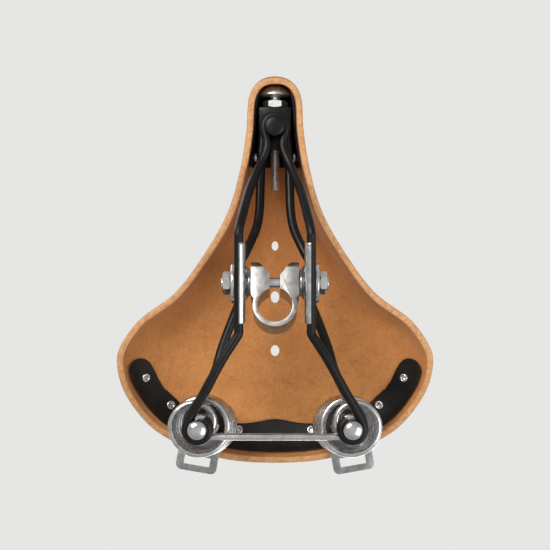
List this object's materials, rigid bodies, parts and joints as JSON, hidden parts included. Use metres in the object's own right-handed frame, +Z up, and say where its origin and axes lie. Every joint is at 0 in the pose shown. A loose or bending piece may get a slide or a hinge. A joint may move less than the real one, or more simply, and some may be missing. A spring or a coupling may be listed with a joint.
{
  "type": "bicycle saddle",
  "caption": "Sprung leather bicycle saddle on a two-wire undercarriage with coil springs, nose tensioner, bag loops and a tilting seat-post clamp.",
  "frame": {"origin": "centre of the clamp's seat-post socket: on its bore axis, at mid height of the band", "axes": "+Y to the rear of the saddle, +Z up to the rider, +X to the rider's left"},
  "size_m": [0.212, 0.2698, 0.0949],
  "materials": {
    "leather": "vegetable-tanned hide, flesh side down",
    "black_enamel": "gloss black stove enamel on steel",
    "chrome": "bright chromed steel",
    "spring_chrome": "bright plated spring wire",
    "zinc": "bright zinc plated steel",
    "cast_steel": "satin plated pressed steel"
  },
  "bodies": {
    "seat_clamp": {"seatpost_clamp_band": "cast_steel", "clamp_cross_bolt": "zinc", "clamp_nut_left": "zinc", "clamp_nut_right": "zinc"},
    "cradle": {"inner_cheek_left": "chrome", "inner_cheek_right": "chrome", "outer_cheek_left": "chrome", "outer_cheek_right": "chrome"},
    "undercarriage": {"lower_rail": "black_enamel", "upper_rail": "black_enamel", "tie_rod": "chrome", "nose_shackle": "black_enamel", "nose_bolt": "black_enamel", "spring_foot_bolt_left": "chrome", "spring_foot_bolt_right": "chrome", "spring_foot_nut_left": "zinc", "spring_foot_nut_right": "zinc", "spring_left": "spring_chrome", "spring_right": "spring_chrome"},
    "tension_pin": {"tension_pin": "chrome"},
    "tension_nut": {"tension_nut": "zinc"},
    "top": {"leather_top": "leather", "nose_plate": "black_enamel", "cantle_plate": "black_enamel", "rear_badge_plate": "chrome", "cantle_rivet_left_1": "chrome", "cantle_rivet_left_2": "chrome", "cantle_rivet_left_3": "chrome", "cantle_rivet_right_1": "chrome", "cantle_rivet_right_2": "chrome", "cantle_rivet_right_3": "chrome", "nose_rivet_left_1": "chrome", "nose_rivet_left_2": "chrome", "nose_rivet_right_1": "chrome", "nose_rivet_right_2": "chrome", "bag_loop_left": "zinc", "bag_loop_right": "zinc", "spring_seat_left": "zinc", "spring_seat_right": "zinc", "spring_seat_nut_left": "zinc", "spring_seat_nut_right": "zinc"}
  },
  "joints": [
    {"name": "saddle_tilt", "type": "hinge", "parent": "seat_clamp", "child": "cradle", "pos_m": [0, -0.01653, 0.00474], "axis": [1, 0, 0], "range_deg": [-15, 15]},
    {"name": "rail_slide", "type": "slide", "parent": "cradle", "child": "undercarriage", "axis": [0, 1, 0], "range_m": [-0.003, 0.003]},
    {"name": "spring_flex", "type": "hinge", "parent": "undercarriage", "child": "top", "pos_m": [0, -0.13868, 0.0485], "axis": [-1, 0, 0], "range_deg": [0, 3.5], "stiffness_Nm_per_rad": 1500, "deforming": ["spring_left", "spring_right"]},
    {"name": "tension_slide", "type": "slide", "parent": "undercarriage", "child": "tension_pin", "axis": [0, -1, 0], "range_m": [-0.002, 0]},
    {"name": "tension_nut_turn", "type": "hinge", "parent": "undercarriage", "child": "tension_nut", "pos_m": [0, -0.1373, 0.0485], "axis": [0, 1, 0], "range_deg": [-720, 0]}
  ],
  "couplings": [
    {"joint": "tension_nut_turn", "follows": "tension_slide", "rad_per_m": 6283.2}
  ]
}
